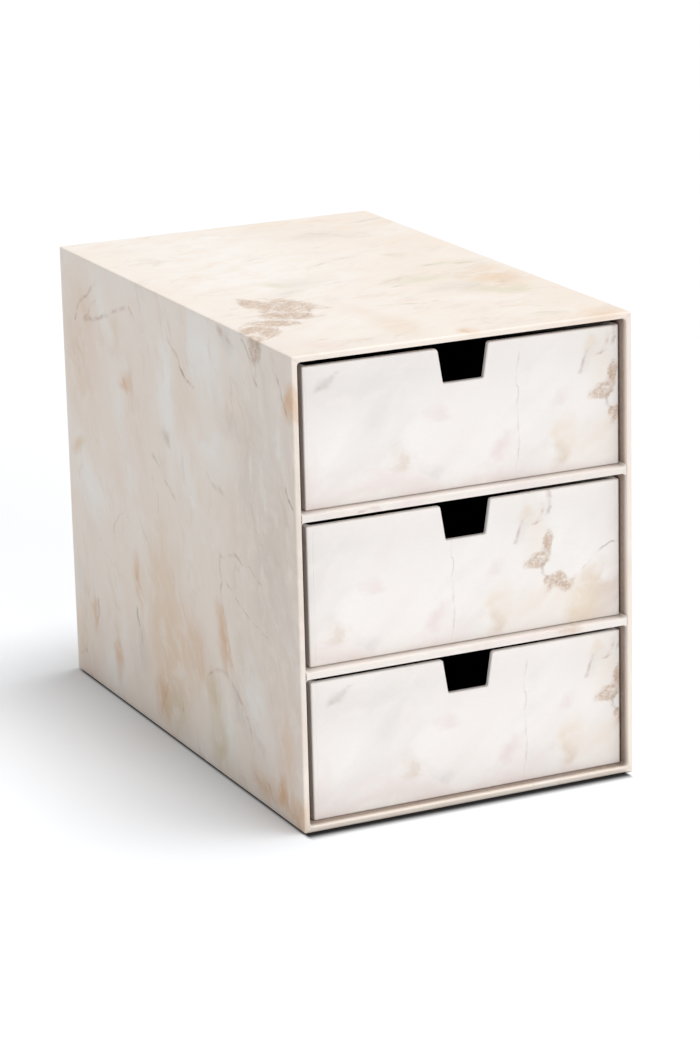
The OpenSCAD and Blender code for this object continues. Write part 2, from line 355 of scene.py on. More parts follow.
def shelf_strip(name, material):
    """Strip folded over the front of a shelf, which turns up and down a little onto the walls."""
    low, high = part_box(f"{name}_shelf_wrap")
    cut = STRIP_CUT[name]
    half = MOUTH_W / 2 - SHELF_END_GAP
    thickness = high.z - low.z
    front = CASE_LOW.y
    flare_stops = [half - SHELF_END_GAP - MOUTH_BRIDGE_R * k / FLARE_STEPS for k in range(FLARE_STEPS + 1)]
    middle_stops = spaced(-flare_stops[-1], flare_stops[-1], CELL)
    stops = [-half] + [-stop for stop in flare_stops] + middle_stops[1:-1] + flare_stops[::-1] + [half]
    # Stops that differ only by rounding are one stop
    stops = sorted({round(stop, STOP_DIGITS) for stop in stops})
    roll = EDGE_R * math.pi / 2
    # Each row: distance in from the front, height, share of the flare with its sign, travel
    path = [(depth, high.z, 1, -depth) for depth in spaced(BAY_TURN_IN, EDGE_R, -CELL)]
    for sine, cosine in quarter(ROLL_STEPS):
        path.append((EDGE_R * (1 - sine), high.z - EDGE_R * (1 - cosine), 1 - sine, -EDGE_R + roll * sine))
    flat = thickness - 2 * EDGE_R
    path.append((0.0, low.z + EDGE_R, 0, roll + flat - EDGE_R))
    for sine, cosine in quarter(ROLL_STEPS):
        depth = EDGE_R * (1 - cosine)
        path.append((depth, low.z + EDGE_R * (1 - sine), cosine - 1, roll + flat + EDGE_R * sine))
    path += [(depth, low.z, -1, roll + flat + depth) for depth in spaced(EDGE_R, BAY_TURN_IN, CELL)[1:]]
    rings = []
    prints = []
    for depth, z, flare, travel in path:
        ring = []
        for stop in stops:
            climb = flare * shelf_flare(MOUTH_W / 2 - abs(stop))
            ring.append(Vector((stop, front + depth, z + climb)))
        rings.append(ring)
        prints.append([(stop + cut, travel) for stop in stops])
    mesh = sheet_mesh(f"{name}_shelf_strip", rings, prints, closed=False)
    mesh.flip_normals()
    return add_piece(f"{name}_shelf_strip", mesh, material, "case", [f"{name}_shelf_wrap"])


# ------------------------------------------------------------- the drawers' wrapping

FRONT_CELL = 3 * MM
SIDE_CELL = 6 * MM
NOTCH_CELL = 1.5 * MM
NOTCH_SIDE_STEPS = 8
ARC_STEPS = 7
# The notch's columns stay where they are this far from the middle, also where the sheet is drawn in
FIXED = 15 * MM
# Near its foot a front has finer rows
FOOT_ZONE = 2.6 * MM
FOOT_CELL = 0.25 * MM
# Near its ends a front has finer columns, for the hairline where its flap ends
FLAP_ZONE = 2.4 * MM
FLAP_CELL = 0.15 * MM
SEAM_HALF_W = 0.2 * MM
FLAP_STEP = 0.1 * MM


def notch_rim(rim_r):
    """The rim along one half of a drawer's front, from the middle of the notch outwards to where the rim
    is straight again: each point (x, z) below the rim's height, and the way from it into the board."""
    lean = math.atan((NOTCH_TOP_W - NOTCH_FOOT_W) / 2 / NOTCH_DEPTH)
    foot_z = -NOTCH_DEPTH

    def half_at(z):
        return NOTCH_FOOT_W / 2 + math.tan(lean) * (z - foot_z)

    foot_half = half_at(foot_z + NOTCH_FOOT_R) - NOTCH_FOOT_R / math.cos(lean)
    foot_centre = Vector((foot_half, foot_z + NOTCH_FOOT_R))
    rim_centre = Vector((half_at(-rim_r) + rim_r / math.cos(lean), -rim_r))
    down = Vector((0, -1))
    path = [(Vector((x, foot_z)), down) for x in spaced(0, foot_centre.x, NOTCH_CELL)]
    for k in range(1, ARC_STEPS + 1):
        angle = between(-math.pi / 2, -lean, k / ARC_STEPS)
        way = Vector((math.cos(angle), math.sin(angle)))
        path.append((foot_centre + way * NOTCH_FOOT_R, way))
    side_way = path[-1][1]
    low = path[-1][0]
    high = rim_centre - side_way * rim_r
    path += [(low.lerp(high, k / NOTCH_SIDE_STEPS), side_way) for k in range(1, NOTCH_SIDE_STEPS + 1)]
    for k in range(1, ARC_STEPS + 1):
        angle = between(math.pi - lean, math.pi / 2, k / ARC_STEPS)
        way = Vector((math.cos(angle), math.sin(angle)))
        path.append((rim_centre + way * rim_r, -way))
    return path


def front_rim(level):
    """Columns of a drawer's front from left to right: the stop along the front, the rim's point there
    below the rim's height, and the way from it into the board."""
    end = DRAWER_W / 2 - EDGE_R
    halves = []
    for rim_r in NOTCH_RIM_R[level]:
        path = notch_rim(rim_r)
        straight = path[-1][0].x
        stops = spaced(straight, end - FLAP_ZONE, FRONT_CELL)[1:]
        stops += spaced(end - FLAP_ZONE, end, FLAP_CELL)[1:]
        half = [((point + way * EDGE_R).x, point, way) for point, way in path]
        half += [(stop, Vector((stop, 0.0)), Vector((0, -1))) for stop in stops]
        halves.append(half)
    mirrored = Vector((-1, 1))
    left = [(-stop, point * mirrored, way * mirrored) for stop, point, way in halves[0][1:]]
    return left[::-1] + halves[1]


# The drawers' sheets have the same print, each cut from another place of it
ART_CUT = {"upper": (0.0, 0.0), "middle": (31.0 * MM, 2.5 * MM), "lower": (-2.0 * MM, 0.0)}


def drawer_columns(level):
    """Columns round a drawer, from its front round by its right, and the rim's points along its front."""
    half = (DRAWER_W / 2 - EDGE_R, DRAWER_D / 2 - EDGE_R)
    rim = front_rim(level)
    beside = spaced(-half[1], half[1], SIDE_CELL)
    stops = ([stop for stop, point, way in rim], beside, spaced(-half[0], half[0], SIDE_CELL), beside)
    return ring_columns(stops), half + half, {stop: (point, way) for stop, point, way in rim}


def drawer_rows():
    """Rows (zone, share, rect, radius, travel) of a drawer's wrapping, from its underside up the outside,
    over the rim and down inside. Share is the way along the zone, and travel is along the paper."""
    low = DRAWER_LOW["lower"]
    high = DRAWER_HIGH["lower"]
    outer = (low.x, high.x, low.y, high.y)
    inner = inset(outer, WALL)
    roll = EDGE_R * math.pi / 2
    flat = WALL - 2 * EDGE_R
    rows = [("under", 0.0, inset(outer, SHEET_MARGIN), SHARP_R, -SHEET_MARGIN)]
    rows += [("under", 0.0, inset(outer, EDGE_R), SHARP_R, -roll)]
    for sine, cosine in quarter(ROLL_STEPS):
        down = EDGE_R * (1 - sine)
        up = EDGE_R * (1 - cosine)
        rows.append(("foot", 1 - cosine, inset(outer, down), max(EDGE_R - down, SHARP_R), up))
    height = DRAWER_H - 2 * EDGE_R
    foot = FOOT_ZONE / height
    shares = spaced(0, foot, FOOT_CELL / height)[1:] + spaced(foot, 1, FRONT_CELL / height)[1:]
    rows += [("outside", share, outer, EDGE_R, EDGE_R + share * height) for share in shares]
    for sine, cosine in quarter(ROLL_STEPS):
        down = EDGE_R * (1 - cosine)
        radius = max(EDGE_R - down, SHARP_R)
        rows.append(("rim", 1 - sine, inset(outer, down), radius, EDGE_R * math.asin(sine)))
    for share in (0.5, 1.0):
        rect = inset(outer, EDGE_R + flat * share)
        radius = between(SHARP_R, TRAY_BRIDGE_R + EDGE_R, share)
        rows.append(("rim", 0.0, rect, radius, roll + flat * share))
    for sine, cosine in quarter(ROLL_STEPS):
        out = EDGE_R * (1 - sine)
        travel = roll + flat + EDGE_R * math.asin(sine)
        rows.append(("rim", 1 - cosine, inset(inner, -out), TRAY_BRIDGE_R + out, travel))
    depth = DRAWER_TURN_IN - EDGE_R
    for share in spaced(0, 1, FRONT_CELL / depth)[1:]:
        rows.append(("inside", share, inner, TRAY_BRIDGE_R, 2 * roll + flat + share * depth))
    return rows


def drawer_print_u(column):
    """Distance round a drawer's outside from the middle of its front; the ends meet at the back left."""
    side, part, value = column
    starts = (0.0, DRAWER_W / 2 + DRAWER_D / 2, DRAWER_W + DRAWER_D, -DRAWER_W / 2 - DRAWER_D / 2)
    if part == "side":
        return starts[side] + value
    half = DRAWER_D / 2 if side % 2 else DRAWER_W / 2
    return starts[side] + half + EDGE_R * (2 * value - 1)


def crease_depth(level, x, z):
    """Depth of the hairline round the edge of the front's flap, at a place on the front."""
    inset_here = FLAP_INSET[level][0 if x < 0 else 1]
    from_side = DRAWER_W / 2 - abs(x)
    away = abs(from_side - inset_here) if z > inset_here else abs(from_side - z) / math.sqrt(2)
    return FLAP_STEP * max(0.0, 1 - away / SEAM_HALF_W)


def cover_height(zone, share, edge, way):
    """Height over the drawer's foot of a point of its wrapping, in a column that meets the rim at edge."""
    start = DRAWER_H + edge.y + way.y * EDGE_R
    if zone == "under":
        return 0.0
    if zone == "foot":
        return EDGE_R * share
    if zone == "outside":
        return between(EDGE_R, start, share)
    if zone == "rim":
        return DRAWER_H + edge.y + way.y * EDGE_R * share
    return between(start, DRAWER_H - DRAWER_TURN_IN, share)


def cover_print(zone, column, u, travel, height, edge, way):
    """Place on the printed paper of a point of a drawer's wrapping, before the sheet's cut."""
    side, part, value = column
    gone = EDGE_R - travel
    if zone == "outside":
        return (u, height)
    if zone == "inside" or zone == "rim" and (side or part == "corner"):
        return (u, DRAWER_H - gone)
    if zone == "rim":
        return (u + edge.x + way.x * gone - value, DRAWER_H + edge.y + way.y * gone)
    return (u, travel)


def drawer_cover(level, material):
    """The sheet round a drawer: under it, up its walls, over its rim and notch, and down inside."""
    columns, full, rim = drawer_columns(level)
    places = [drawer_print_u(column) for column in columns]
    far_end = places[0] + 2 * (DRAWER_W + DRAWER_D)
    shift = LEVELS.index(level) + 1.0
    cut = Vector(ART_CUT[level])
    rings = []
    prints = []
    for zone, share, rect, radius, travel in drawer_rows():
        ring = []
        spots = []
        for column, u in zip(columns, places):
            side, part, value = column
            (a, b), out = ring_point(column, rect, radius, full, FIXED)
            on_front = side == 0 and part == "side"
            edge, way = rim[value] if on_front else (Vector((value, 0.0)), Vector((0, -1)))
            height = cover_height(zone, share, edge, way)
            in_notch = zone == "rim" and on_front and abs(value) <= FIXED
            sideways = way.x * EDGE_R * share + edge.x - value if in_notch else 0.0
            z = DRAWER_LOW[level].z + height
            depth = ripple((a, b, z), shift) if zone == "outside" else 0.0
            if zone == "outside" and on_front:
                depth += crease_depth(level, a - DRAWER_X, height)
            ring.append(Vector((a + sideways - out.x * depth, b - out.y * depth, z)))
            spots.append(cover_print(zone, column, u, travel, height, edge, way))
        spots.append((far_end, spots[0][1]))
        rings.append(ring)
        prints.append([Vector(spot) + cut for spot in spots])

    def under_print(co):
        return Vector((co.x - DRAWER_X, co.y - DRAWER_LOW[level].y)) + cut

    mesh = sheet_mesh(f"{level}_drawer_cover", rings, prints, caps=[(0, under_print)])
    body = f"{level}_drawer"
    return add_piece(f"{body}_cover", mesh, material, body, [f"{body}_wrap"])


# ------------------------------------------------------------- shader nodes


# A noise wanders round its mean, mostly no further from it than its reach
NOISE_MEAN = 0.5
NOISE_REACH = 0.25
# A vein fades out sideways over this many of its widths, and at each end over this share of its length
VEIN_SOFTNESS = 1.05
VEIN_TIP = 0.12
# A vein's curve spans at least this many millimetres, so that a straight vein has one too
VEIN_SPAN = 0.1


def linear(code):
    """Scene-linear colour of an sRGB hex value."""
    parts = [int(code[k:k + 2], 16) / 255 for k in (1, 3, 5)]
    return [p / 12.92 if p <= 0.04045 else ((p + 0.055) / 1.055) ** 2.4 for p in parts] + [1.0]


def socket(sockets, key):
    """Socket of a node by its name or number, among those that its settings leave in use."""
    usable = [one for one in sockets if one.enabled]
    return usable[key] if isinstance(key, int) else next(one for one in usable if one.name == key)


def add(tree, kind, inputs=(), **settings):
    """Adds a node with its settings. Inputs gives a value, a node or an output to its sockets, each by
    name or number."""
    node = tree.nodes.new("ShaderNode" + kind)
    for name, value in settings.items():
        setattr(node, name, value)
    for key, value in dict(inputs).items():
        if isinstance(value, bpy.types.Node):
            value = socket(value.outputs, 0)
        if isinstance(value, bpy.types.NodeSocket):
            tree.links.new(value, socket(node.inputs, key))
        else:
            socket(node.inputs, key).default_value = value
    return node


def new_material(name):
    """An empty material and its node tree."""
    material = bpy.data.materials.new(name)
    material.use_nodes = True
    material.node_tree.nodes.clear()
    return material, material.node_tree


def surface(tree, colour, roughness, relief=None, height=0.0, ior=1.5):
    """The shader at the end of a material. Relief is a pattern from 0 to 1 that is height metres deep."""
    inputs = {"Base Color": colour, "Roughness": roughness, "IOR": ior}
    if relief is not None:
        inputs["Normal"] = add(tree, "Bump", {"Height": relief, "Strength": 1.0, "Distance": height})
    shader = add(tree, "BsdfPrincipled", inputs)
    add(tree, "OutputMaterial", {"Surface": shader})


def tinted(tree, colour, tint, *masks):
    """The colour with a tint laid over it, as far as all of the masks let it through."""
    share = masks[0]
    for mask in masks[1:]:
        share = add(tree, "Math", {0: share, 1: mask}, operation="MULTIPLY")
    layers = {"Factor": share, "A": colour, "B": linear(tint)}
    return add(tree, "Mix", layers, data_type="RGBA", blend_type="MIX")


def swirl(tree, place, size, seed, turn=0.0, detail=3.0, roughness=0.5, fade=None):
    """Noise from 0 to 1 whose swells are size = (along, across) millimetres, turned by some radians. With
    fade it is a mask: 0 up to the first of two noise values, and 1 from the second."""
    scale = (1 / size[0], 1 / size[1], 1.0)
    turned = add(tree, "VectorRotate", {"Vector": place, "Angle": -turn}, rotation_type="Z_AXIS")
    spot = add(tree, "VectorMath", {0: turned, 1: scale}, operation="MULTIPLY")
    moved = add(tree, "VectorMath", {0: spot, 1: (0.0, 0.0, seed)}, operation="ADD")
    settings = {"Vector": moved, "Scale": 1.0, "Detail": detail, "Roughness": roughness}
    swells = add(tree, "TexNoise", settings, noise_dimensions="3D")
    if fade is None:
        return swells
    ranges = {"Value": swells, "From Min": fade[0], "From Max": fade[1]}
    return add(tree, "MapRange", ranges, interpolation_type="SMOOTHSTEP")


def wavering(tree, place, reach, size, seed):
    """The place pushed about by up to reach millimetres, in swells of the given size."""
    spot = add(tree, "VectorMath", {0: place, "Scale": 1 / size}, operation="SCALE")
    moved = add(tree, "VectorMath", {0: spot, 1: (0.0, 0.0, seed)}, operation="ADD")
    push = add(tree, "TexNoise", {"Vector": moved, "Scale": 1.0, "Detail": 3.0}, noise_dimensions="3D")
    middle = (NOISE_MEAN, NOISE_MEAN, NOISE_MEAN)
    centred = add(tree, "VectorMath", {0: push.outputs["Color"], 1: middle}, operation="SUBTRACT")
    pushed = add(tree, "VectorMath", {0: centred, "Scale": reach / NOISE_REACH}, operation="SCALE")
    flat = add(tree, "VectorMath", {0: pushed, 1: (1.0, 1.0, 0.0)}, operation="MULTIPLY")
    return add(tree, "VectorMath", {0: place, 1: flat}, operation="ADD")


def close_to(tree, value, middle, width):
    """Mask of a fine line: 1 where a value is the middle one, and 0 from width away from it. On a noise,
    whose middle is its mean, that draws lines that wander, and width is in the noise's own units."""
    off = add(tree, "Math", {0: value, 1: middle}, operation="SUBTRACT")
    away = add(tree, "Math", {0: off}, operation="ABSOLUTE")
    ranges = {"Value": away, "From Min": width, "From Max": 0.0}
    return add(tree, "MapRange", ranges, interpolation_type="SMOOTHSTEP")


def vein(tree, spot, points, width):
    """Mask of a vein drawn through points (u, v), millimetres on the sheet, in its longer direction."""
    spans = [max(point[axis] for point in points) - min(point[axis] for point in points) for axis in (0, 1)]
    run = 0 if spans[0] > spans[1] else 1
    ordered = sorted(points, key=lambda point: point[run])
    start, end = ordered[0][run], ordered[-1][run]
    sides = [point[1 - run] for point in ordered]
    low, span = min(sides), max(max(sides) - min(sides), VEIN_SPAN)
    ranges = {"Value": spot.outputs[run], "From Min": start, "From Max": end}
    share = add(tree, "MapRange", ranges, clamp=True)
    path = add(tree, "FloatCurve", {"Value": share})
    curve = path.mapping.curves[0]
    curve.points[0].location = (0.0, (sides[0] - low) / span)
    curve.points[1].location = (1.0, (sides[-1] - low) / span)
    for point in ordered[1:-1]:
        curve.points.new((point[run] - start) / (end - start), (point[1 - run] - low) / span)
    path.mapping.update()
    middle = add(tree, "MapRange", {"Value": path, "To Min": low, "To Max": low + span})
    line = close_to(tree, spot.outputs[1 - run], middle, VEIN_SOFTNESS * width)
    from_end = add(tree, "Math", {0: share, 1: 0.5}, operation="PINGPONG")
    ranges = {"Value": from_end, "From Min": 0.0, "From Max": VEIN_TIP}
    tapered = add(tree, "MapRange", ranges, interpolation_type="SMOOTHSTEP")
    return add(tree, "Math", {0: line, 1: tapered}, operation="MULTIPLY")


def turned_places(tree, place, turns):
    """The place seen along each of some directions, which are given in degrees."""
    places = {}
    for turn in sorted(set(turns)):
        back = {"Vector": place, "Angle": -math.radians(turn)}
        places[turn] = add(tree, "VectorRotate", back, rotation_type="Z_AXIS")
    return places


def patch(tree, places, middle, size, turn, soft):
    """Mask of an oval patch: its middle (u, v), its half lengths in millimetres and its turn in degrees.
    Soft is the share of it over which it fades."""
    turned = Matrix.Rotation(-math.radians(turn), 2) @ Vector(middle)
    scale = (1 / size[0], 1 / size[1], 0.0)
    start = (-turned.x / size[0], -turned.y / size[1], 0.0)
    local = add(tree, "VectorMath", {0: places[turn], 1: scale, 2: start}, operation="MULTIPLY_ADD")
    away = add(tree, "VectorMath", {0: local}, operation="LENGTH")
    ranges = {"Value": away.outputs["Value"], "From Min": 1.0, "From Max": 1.0 - soft}
    return add(tree, "MapRange", ranges, interpolation_type="SMOOTHSTEP")


def largest(tree, masks):
    """The largest of some masks, which are made one by one as they are needed."""
    result = None
    for mask in masks:
        result = mask if result is None else add(tree, "Math", {0: result, 1: mask}, operation="MAXIMUM")
    return result


# ------------------------------------------------------------- the marble print

# The print has soft watery clouds, a few torn veins and crackled patches. Its features are placed in
# millimetres on the unrolled sheet. A cloud is (tint, swell along and across, turn in degrees, seed, noise
# at which it starts, noise at which it is full, strength). A stain is (tint, middle, half lengths, turn,
# strength). A vein is (width, points).
TAN = "#e8cfb4"
ORANGE_TAN = "#dfb78f"
PINK = "#eed9cd"
COOL = "#f7f5f1"
GREY_GREEN = "#e2dcc6"
GREY = "#ddd4cb"
# Painted shade: a grey-beige that darkens the left side toward its front edge
LEFT_SIDE_SHADE_TINT = "#d8cabd"
OLIVE = "#dccbad"
VEIN_BROWN = "#b8917a"
VEIN_DARK = "#8a6a56"
GREY_VEIN = "#c0b6a4"
CRACKLE_BROWN = "#d8c1ac"
CRACK = "#a98a72"

# A stain fades out as far from its middle as this many of its half lengths
STAIN_REACH = 1.45
CLOUD_DETAIL = 5.0
CLOUD_ROUGHNESS = 0.55
VEIN_STRENGTH = {GREY_VEIN: 0.45, VEIN_BROWN: 0.50, VEIN_DARK: 0.55}

# How far the print is pushed about, in swells of what size (both in millimetres), and a seed: all of it,
# then the edges of the stains, and the veins and cracks
BENT = (3.5, 40, 2.7)
TORN = (4.5, 15, 6.1)
SHAKEN = (1.5, 10, 8.8)
# What breaks up the stains, the veins and the crackled patches: a swirl's size, seed, turn, detail,
# roughness and fade
STAIN_MOTTLE = ((16, 8), 47.0, 0.4, 5.0, 0.6, (0.24, 0.60))
VEIN_BREAKS = ((8, 8), 51.0, 0.0, 4.0, 0.6, (0.32, 0.66))
CRACKLE_MOTTLE = ((6, 4), 71.0, 0.5, 4.0, 0.6, (0.20, 0.62))
CRACKLE_SOFTNESS = 0.45
CRACKLE_STRENGTH = 0.72
# The net of cracks has wide and narrow meshes: a swirl, and the cracks' width in the noise's own units
CRACK_NETS = (
    (((6, 4), 74.0, 0.4, 3.0, 0.6), 0.035),
    (((3.0, 2.2), 77.0, 0.4, 3.0, 0.6), 0.055),
)
CRACK_STRENGTH = 0.50
# The print's many fine veins: (tint, swell, turn in degrees, seed, width in the noise's own units). They
# show in swells of their own.
WISPS = (
    (VEIN_BROWN, (40, 16), 20, 61.0, 0.030),
    (GREY_VEIN, (22, 10), 26, 67.0, 0.045),
)
WISP_DETAIL = 2.5
WISP_SWELL = (38, 24)
WISP_SWELL_DETAIL = 2.0
WISP_SWELL_SEED = 3.0
WISP_FADE = (0.50, 0.70)
SLEEVE_WISPS = 0.16

SLEEVE_BASE = "#f3e7db"
SLEEVE_CLOUDS = (
    (TAN, (70, 34), 18, 1.3, 0.52, 0.74, 0.30),
    (COOL, (55, 30), 22, 4.1, 0.50, 0.70, 0.45),
    (PINK, (44, 24), 12, 7.9, 0.54, 0.76, 0.40),
    (GREY, (36, 13), 16, 12.4, 0.56, 0.76, 0.30),
    (TAN, (24, 9), 22, 15.2, 0.56, 0.76, 0.24),
    (COOL, (18, 7), 18, 19.8, 0.55, 0.74, 0.28),
)
SLEEVE_STAINS = (
    # Down the left side, from its back edge to the mouth
    (PINK, (-47, 224), (34, 22), 0, 0.60),
    (TAN, (-40, 230), (40, 20), 0, 0.45),
    (TAN, (-22, 222), (7, 6), 20, 0.70),
    (TAN, (-92, 237), (5, 12), 0, 0.85),
    (COOL, (-106, 222), (12, 24), 0, 0.65),
    (TAN, (-182, 241), (13, 7), 0, 0.90),
    (PINK, (-199, 236), (10, 12), 0, 0.90),
    (ORANGE_TAN, (-166, 222), (10, 3), 0, 0.70),
    (ORANGE_TAN, (-180, 198), (15, 5), 0, 0.70),
    (PINK, (-36, 191), (5, 9), 0, 0.60),
    (TAN, (-28, 186), (6, 6), 0, 0.50),
    (ORANGE_TAN, (-49, 177), (5, 7), 0, 0.95),
    (TAN, (-58, 171), (9, 5), 0, 0.60),
    (ORANGE_TAN, (-137, 172), (13, 5), 0, 0.85),
    (GREY, (-170, 172), (16, 10), 0, 0.75),
    (TAN, (-140, 142), (44, 26), 0, 0.75),
    (TAN, (-158, 128), (34, 34), 20, 0.75),
    (ORANGE_TAN, (-155, 106), (22, 8), 20, 0.45),
    (COOL, (-38, 133), (26, 12), 0, 0.90),
    (COOL, (-18, 88), (22, 18), 20, 0.90),
    (COOL, (-57, 80), (13, 20), 0, 0.80),
    (GREY, (-64, 133), (6, 4), 20, 0.85),
    (PINK, (-68, 165), (30, 16), 0, 0.45),
    (GREY, (-42, 65), (6, 9), 0, 0.60),
    (GREY, (-55, 46), (30, 18), 0, 0.45),
    (GREY, (-96, 27), (34, 14), 0, 0.50),
    # Painted shade over the front part of the left side, darkest near the mouth
    (LEFT_SIDE_SHADE_TINT, (-90, 14), (125, 62), 0, 0.55),
    (ORANGE_TAN, (-139, 75), (18, 6), 20, 0.90),
    (ORANGE_TAN, (-182, 145), (15, 9), -20, 0.80),
    (OLIVE, (-188, 130), (14, 14), 0, 0.80),
    (OLIVE, (-166, 88), (11, 10), 0, 0.95),
    (OLIVE, (-186, 82), (16, 15), 0, 0.85),
    (COOL, (-176, 75), (19, 9), 20, 0.85),
    (COOL, (-157, 44), (20, 12), 20, 0.85),
    (GREY, (-166, 57), (18, 5), 40, 0.85),
    (PINK, (-166, 16), (26, 14), 0, 0.90),
    (TAN, (-168, 15), (20, 10), 0, 0.60),
    (ORANGE_TAN, (-191, 22), (8, 14), 0, 1.00),
    (ORANGE_TAN, (-193, 6), (8, 7), 0, 0.90),
    (ORANGE_TAN, (-192, 43), (8, 8), 0, 0.80),
    (ORANGE_TAN, (-20, 3), (8, 5), 0, 1.00),
    (GREY, (-3, 34), (5, 6), 0, 0.90),
    (GREY, (-5, 64), (6, 12), -20, 0.70),
    # Over the top, from its left edge to the right
    (TAN, (42, 177), (12, 18), 0, 0.40),
    # The two wide cool patches over the top are print and partly painted light: their cooler cast stands in
    # for the light from above
    (COOL, (50, 170), (60, 110), 0, 0.75),
    (COOL, (40, 40), (60, 60), 0, 0.55),
    (GREY_GREEN, (49, 125), (5, 10), 40, 0.80),
    (GREY, (49, 106), (7, 5), 20, 0.70),
    (GREY, (60, 122), (14, 14), 0, 0.45),
    (PINK, (19, 13), (10, 10), 0, 0.50),
    (PINK, (57, 63), (9, 20), 0, 0.55),
    (TAN, (60, 29), (11, 20), 0, 0.55),
    (GREY_GREEN, (110, 101), (20, 8), 0, 0.75),
    (GREY_GREEN, (119, 151), (5, 6), 0, 0.75),
    (GREY, (114, 80), (13, 10), 0, 0.75),
    (TAN, (138, 88), (13, 24), -20, 0.90),
    (GREY_GREEN, (129, 68), (16, 8), -20, 0.90),
    (GREY_GREEN, (136, 123), (18, 5), 0, 0.70),
    (COOL, (111, 52), (20, 10), -20, 0.55),
    (ORANGE_TAN, (83, 6), (5, 5), 0, 0.75),
    (TAN, (144, 5), (8, 12), 0, 0.90),
    (GREY_GREEN, (123, 16), (8, 3), 0, 0.85),
    (PINK, (128, 239), (12, 3), 0, 1.00),
    (GREY, (145, 231), (10, 3), 20, 1.00),
    (GREY, (110, 207), (26, 10), -20, 0.50),
)
SLEEVE_DARK_VEINS = (
    (1.3, ((-2, 50), (-6, 44), (-11, 40), (-16, 37), (-19, 33))),
    (1.3, ((-8, 19), (-12, 13), (-17, 11), (-22, 7), (-25, 5))),
    (1.2, ((-55, 11), (-60, 7), (-64, 2))),
    (1.0, ((-150, 174), (-155, 173), (-158, 171))),
    (1.0, ((-27, 115), (-30, 111), (-33, 105))),
    (1.1, ((-188, 51), (-192, 46), (-195, 42))),
    (1.1, ((-189, 36), (-193, 33), (-197, 29))),
    (1.2, ((-31, 235), (-28, 232), (-22, 228))),
)
SLEEVE_VEINS = (
    (1.6, ((-4, 206), (-9, 208), (-13, 214), (-18, 222), (-22, 228), (-31, 235))),
    (1.5, ((-15, 207), (-21, 213), (-26, 220), (-29, 226))),
    (1.7, ((-30, 228), (-26, 213), (-24, 203), (-19, 191), (-16, 181), (-12, 171))),
    (1.3, ((-12, 170), (-14, 167), (-17, 163))),
    (1.9, ((-10, 130), (-18, 126), (-23, 119), (-30, 111), (-33, 104), (-38, 94))),
    (2.2, ((-2, 76), (-4, 68), (-7, 60), (-9, 57))),
    (1.2, ((-158, 221), (-167, 221), (-173, 226))),
    (1.5, ((-201, 231), (-191, 230), (-189, 237), (-193, 247))),
    (1.6, ((-171, 136), (-182, 144), (-194, 151))),
    (1.1, ((-179, 125), (-184, 124))),
    (1.3, ((-98, 80), (-103, 78), (-112, 78), (-121, 78), (-131, 75), (-151, 67))),
    (1.2, ((-99, 82), (-101, 76), (-98, 65), (-99, 52), (-102, 41), (-104, 33))),
    (1.0, ((-110, 77), (-114, 68), (-117, 59), (-122, 49), (-124, 37), (-125, 29))),
    (1.0, ((-159, 168), (-162, 169), (-166, 168))),
    (1.6, ((-155, 72), (-153, 80), (-156, 91), (-163, 96))),
    (1.8, ((-153, 80), (-156, 69), (-160, 62), (-164, 56), (-171, 53), (-180, 47))),
    (1.5, ((20, 54), (24, 53), (31, 60), (40, 69), (44, 78))),
    (1.5, ((3, 54), (9, 61), (13, 58), (17, 51))),
    (1.5, ((20, 54), (13, 43), (7, 35), (-4, 32))),
    (1.4, ((24, 92), (31, 103), (37, 100), (43, 99))),
    (1.4, ((22, 82), (24, 76), (26, 67))),
    (1.1, ((20, 22), (24, 22), (27, 21))),
)
SLEEVE_PALE_VEINS = (
    (3.0, ((-61, 139), (-63, 133), (-67, 127))),
    (1.4, ((-73, 152), (-77, 143), (-82, 136), (-87, 128), (-90, 122))),
    (1.2, ((-82, 150), (-88, 148), (-93, 144), (-101, 146))),
    (1.6, ((-127, 197), (-117, 195), (-109, 182))),
    (1.3, ((-106, 167), (-110, 164), (-115, 158))),
    (1.7, ((-67, 91), (-71, 83), (-73, 74), (-75, 68))),
    (2.2, ((72, 144), (81, 150), (91, 156), (99, 158), (106, 159))),
    (1.8, ((107, 217), (114, 210), (121, 198), (130, 195))),
    (2.0, ((120, 123), (130, 126), (138, 122), (151, 123))),
    (1.6, ((90, 94), (99, 93), (106, 84))),
    (1.5, ((124, 106), (135, 99), (150, 90))),
    (2.0, ((68, 65), (79, 63), (87, 60), (98, 64))),
    (1.6, ((111, 39), (121, 35), (129, 28))),
    (1.4, ((116, 18), (123, 18), (129, 14))),
    (1.3, ((93, 13), (98, 10), (103, 7))),
    (1.2, ((13, 90), (16, 91), (19, 93))),
)
# The crackled patch near the left edge of the top is a leaning S, which runs over that edge
SLEEVE_CRACKLES = (
    ((38, 86), (15, 17), 20),
    ((26, 92), (7, 15), 0),
    ((30, 68), (9, 16), 40),
    ((18, 58), (9, 13), 40),
    ((8, 48), (8, 12), 0),
    ((-3, 37), (8, 9), 0),
)

# The sheets that close the back and the underside show parts of the print with few marks. Each stands
# upright or not, and is cut from its own place on the print, in millimetres.
SHEET_CUTS = {"back_sheet": (True, (40, -60)), "base_sheet": (False, (-90, 120))}
SHEET_STAINS = (
    (TAN, (20, 60), (40, 22), 20, 0.80),
    (GREY_GREEN, (-30, -20), (22, 12), 20, 0.80),
    (PINK, (60, -70), (30, 16), 20, 0.70),
    (COOL, (-50, 40), (36, 24), 20, 0.80),
)
SHEET_VEINS = (
    (1.4, ((-60, 10), (-40, 22), (-22, 18), (0, 34), (16, 30))),
    (1.2, ((10, -60), (30, -48), (44, -52), (70, -34))),
)
SHEET_PALE_VEINS = (
    (2.0, ((-70, -50), (-40, -40), (-20, -46))),
    (1.8, ((20, 80), (50, 92), (80, 88))),
)

